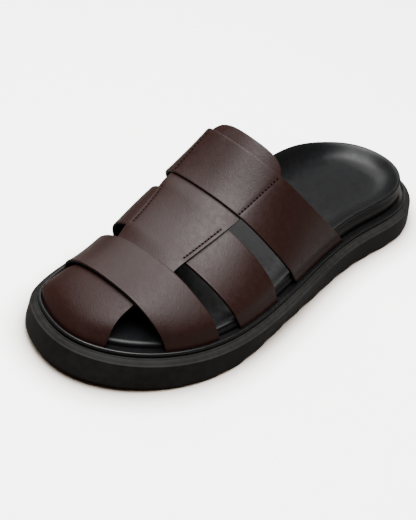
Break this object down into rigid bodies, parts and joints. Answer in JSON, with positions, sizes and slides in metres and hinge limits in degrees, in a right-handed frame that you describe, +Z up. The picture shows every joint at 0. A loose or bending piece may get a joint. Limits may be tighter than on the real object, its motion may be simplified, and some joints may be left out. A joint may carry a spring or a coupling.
{
  "type": "fisherman sandal",
  "caption": "Left slip-on fisherman sandal: open heel, woven leather strap upper over a contoured footbed, thin midsole bead and a thick outsole with waved lugs.",
  "frame": {"origin": "on the floor, below the middle of the sandal's outer box", "axes": "+Z up, toe towards -Y and heel towards +Y, lateral side +X and medial side -X, so it is a left shoe"},
  "size_m": [0.1127, 0.2994, 0.0914],
  "materials": {
    "outsole_rubber": "satin",
    "midsole_rubber": "semi-gloss",
    "footbed_cover": "satin",
    "brown_leather": "smooth satin"
  },
  "bodies": {
    "root": {"outsole": "outsole_rubber", "midsole": "midsole_rubber", "footbed": "footbed_cover", "upper": "brown_leather"}
  },
  "joints": []
}
